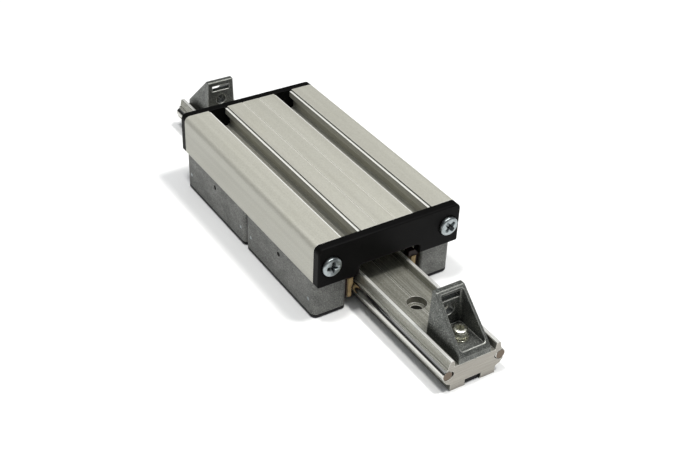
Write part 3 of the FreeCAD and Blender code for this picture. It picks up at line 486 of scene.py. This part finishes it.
def copies(mesh, name, places):
    """One mesh holding the given mesh at each placement."""
    joined = bmesh.new()
    for place in places:
        one = bmesh.new()
        one.from_mesh(mesh)
        one.transform(place)
        moved = bpy.data.meshes.new("moved")
        one.to_mesh(moved)
        one.free()
        joined.from_mesh(moved)
        bpy.data.meshes.remove(moved)
    whole = bpy.data.meshes.new(name)
    joined.to_mesh(whole)
    joined.free()
    for face in whole.polygons:
        face.use_smooth = True
    whole.set_sharp_from_angle(angle=math.radians(SMOOTH_BELOW))
    return whole


def cross_outline():
    """A driver cross with slightly flared arms."""
    tip = CROSS_HALF_WIDTH * 0.8
    root = CROSS_HALF_WIDTH * 1.15
    arm = [(CROSS_HALF_LENGTH, -tip), (CROSS_HALF_LENGTH, tip), (root, root)]
    turns = [math.radians(90 * quarter) for quarter in range(4)]
    return [(x * math.cos(a) - y * math.sin(a), x * math.sin(a) + y * math.cos(a))
            for a in turns for x, y in arm]


def make_cap_screws():
    """Pan heads with a wide, shallow crown and a deep cross recess."""
    low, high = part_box("end_cap_screws")
    crown = CAP_HEAD_HEIGHT - CAP_HEAD_RIM
    steps = 10
    profile = [(CAP_SHANK_R - 0.1, -CAP_SHANK_LENGTH), (CAP_SHANK_R, 1.0 - CAP_SHANK_LENGTH),
               (CAP_SHANK_R, 0.0), (CAP_HEAD_R - 0.15, 0.0), (CAP_HEAD_R, 0.15),
               (CAP_HEAD_R, CAP_HEAD_RIM)]
    for step in range(1, steps):
        turn = math.radians(90 * step / steps)
        profile.append((CAP_HEAD_R * math.cos(turn) ** 0.55, CAP_HEAD_RIM + crown * math.sin(turn)))
    blank = to_object(turned(profile, 96), "cap_screw_blank")
    cutter = to_object(prism(cross_outline(), CAP_HEAD_HEIGHT + 0.1,
                             CAP_HEAD_HEIGHT - CROSS_DEPTH, 0.42), "cross")
    mesh = carved(blank, cutter)
    places = []
    for side in (1, -1):
        for end_x, sign in ((high.x, 1), (low.x, -1)):
            seat = Vector((end_x - sign * CAP_HEAD_HEIGHT * MM, side * (high.y - CAP_HEAD_R * MM),
                           (low.z + high.z) / 2))
            facing = Vector((sign, 0, 0)).to_track_quat("Z", "Y")
            roll = Matrix.Rotation(math.radians(18 + 25 * side * sign), 4, "Z")
            places.append(Matrix.Translation(seat) @ facing.to_matrix().to_4x4() @ roll)
    whole = copies(mesh, "cap_screws_detailed", places)
    new_piece("cap_screws_detailed", whole, "zinc_steel", "carriage", "end_cap_screws")


def make_stop_screws():
    """Socket-head cap screws with a knurled rim."""
    low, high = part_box("stop_screws")
    length = (high.z - low.z) / MM - STOP_HEAD_HEIGHT
    rim = STOP_HEAD_R
    profile = [(STOP_SHANK_R - 0.3, -length), (STOP_SHANK_R, 0.4 - length), (STOP_SHANK_R, 0.0),
               (rim - 0.3, 0.0), (rim, 0.3),
               (rim, STOP_HEAD_HEIGHT - 1.5), (rim - 0.12, STOP_HEAD_HEIGHT - 1.0),
               (rim - 0.45, STOP_HEAD_HEIGHT - 0.45), (rim - 0.95, STOP_HEAD_HEIGHT - 0.12),
               (rim - 1.5, STOP_HEAD_HEIGHT)]
    blank = to_object(turned(profile, KNURL_TEETH * 4, KNURL_DEPTH, (4, 5)), "stop_screw_blank")
    corner = STOP_SOCKET / math.sqrt(3)
    hexagon = [(corner * math.cos(math.radians(60 * i)), corner * math.sin(math.radians(60 * i)))
               for i in range(6)]
    cutter = to_object(prism(hexagon, STOP_HEAD_HEIGHT + 0.1,
                             STOP_HEAD_HEIGHT - STOP_SOCKET_DEPTH, 1.0), "hexagon")
    mesh = carved(blank, cutter)
    seat_z = high.z - STOP_HEAD_HEIGHT * MM
    axis_x = high.x - STOP_HEAD_R * MM
    places = [Matrix.Translation((sign * axis_x, 0, seat_z)) @ Matrix.Rotation(sign * 0.3, 4, "Z")
              for sign in (1, -1)]
    whole = copies(mesh, "stop_screws_knurled", places)
    new_piece("stop_screws_knurled", whole, "yellow_zinc_steel", "rail", "stop_screws")


def make_screws():
    make_cap_screws()
    make_stop_screws()


def make_felts():
    """The wipers with the uneven, napped faces of cut felt."""
    source = frame["nodes"]["wiper_felts"]
    strips = bpy.data.objects.new("felt_strips", source.data.copy())
    bpy.context.scene.collection.objects.link(strips)
    voxels = strips.modifiers.new("voxels", "REMESH")
    voxels.mode = "VOXEL"
    voxels.voxel_size = FELT_VOXEL * MM
    fuzz = bpy.data.textures.new("fuzz", "CLOUDS")
    fuzz.noise_scale = FELT_NAP_SIZE * MM
    fuzz.noise_depth = 4
    nap = strips.modifiers.new("nap", "DISPLACE")
    nap.texture = fuzz
    nap.texture_coords = "LOCAL"
    nap.strength = FELT_NAP * MM
    nap.mid_level = 0.9
    mesh = final_mesh(strips)
    bpy.data.objects.remove(strips)
    for face in mesh.polygons:
        face.use_smooth = True
    new_piece("wiper_felts_napped", mesh, "felt", "carriage", "wiper_felts")


# ---------------------------------------------------------------- studio

def make_floor():
    low, high = cad_box
    half = FLOOR_HALF
    outline = bmesh.new()
    corners = [outline.verts.new((x, y, low[2])) for x, y in
               ((-half, -half), (half, -half), (half, half), (-half, half))]
    outline.faces.new(corners)
    mesh = bpy.data.meshes.new("floor")
    outline.to_mesh(mesh)
    outline.free()
    floor = bpy.data.objects.new("floor", mesh)
    mesh.materials.append(floor_paper())
    bpy.context.scene.collection.objects.link(floor)


def make_world():
    """Soft surround, dimmer towards the horizon."""
    world = bpy.data.worlds.new("studio")
    world.use_nodes = True
    nodes = world.node_tree.nodes
    links = world.node_tree.links
    height = nodes.new("ShaderNodeSeparateXYZ")
    links.new(nodes.new("ShaderNodeTexCoord").outputs["Generated"], height.inputs["Vector"])
    strength = nodes.new("ShaderNodeMapRange")
    for socket, value in zip(("From Min", "From Max", "To Min", "To Max"), WORLD_RANGE):
        strength.inputs[socket].default_value = value
    links.new(height.outputs["Z"], strength.inputs["Value"])
    background = nodes["Background"]
    background.inputs["Color"].default_value = rgb(0.93, 0.96, 1.0)
    links.new(strength.outputs["Result"], background.inputs["Strength"])
    bpy.context.scene.world = world


def make_softbox(name, place_x, place_y, place_z, size, watts):
    """Square soft light turned towards the object."""
    data = bpy.data.lights.new(name, "AREA")
    data.size = size
    data.energy = watts
    data.color = (1.0, 0.985, 0.95)
    light = bpy.data.objects.new(name, data)
    light.location = (place_x, place_y, place_z)
    light.rotation_euler = light.location.to_track_quat("Z", "Y").to_euler()
    bpy.context.scene.collection.objects.link(light)


def make_camera():
    azimuth = math.radians(CAMERA_AZIMUTH)
    elevation = math.radians(CAMERA_ELEVATION)
    roll = math.radians(CAMERA_ROLL)
    level = math.cos(elevation)
    back = Vector((math.sin(azimuth) * level, -math.cos(azimuth) * level, math.sin(elevation)))
    level_right = (-back).cross(Vector((0, 0, 1))).normalized()
    level_up = level_right.cross(-back)
    right = math.cos(roll) * level_right + math.sin(roll) * level_up
    up = math.cos(roll) * level_up - math.sin(roll) * level_right
    data = bpy.data.cameras.new("camera")
    data.lens = CAMERA_LENS
    data.sensor_width = 36.0
    camera = bpy.data.objects.new("camera", data)
    turn = Matrix((right, up, back)).transposed().to_4x4()
    camera.matrix_world = Matrix.Translation(CAMERA_PLACE) @ turn
    bpy.context.scene.collection.objects.link(camera)
    bpy.context.scene.camera = camera


paint_nodes()
make_screws()
make_felts()
make_floor()
make_world()
make_softbox("softbox_left", *SOFTBOX_LEFT)
make_softbox("softbox_right", *SOFTBOX_RIGHT)
make_camera()
bpy.context.scene.view_settings.view_transform = "Standard"
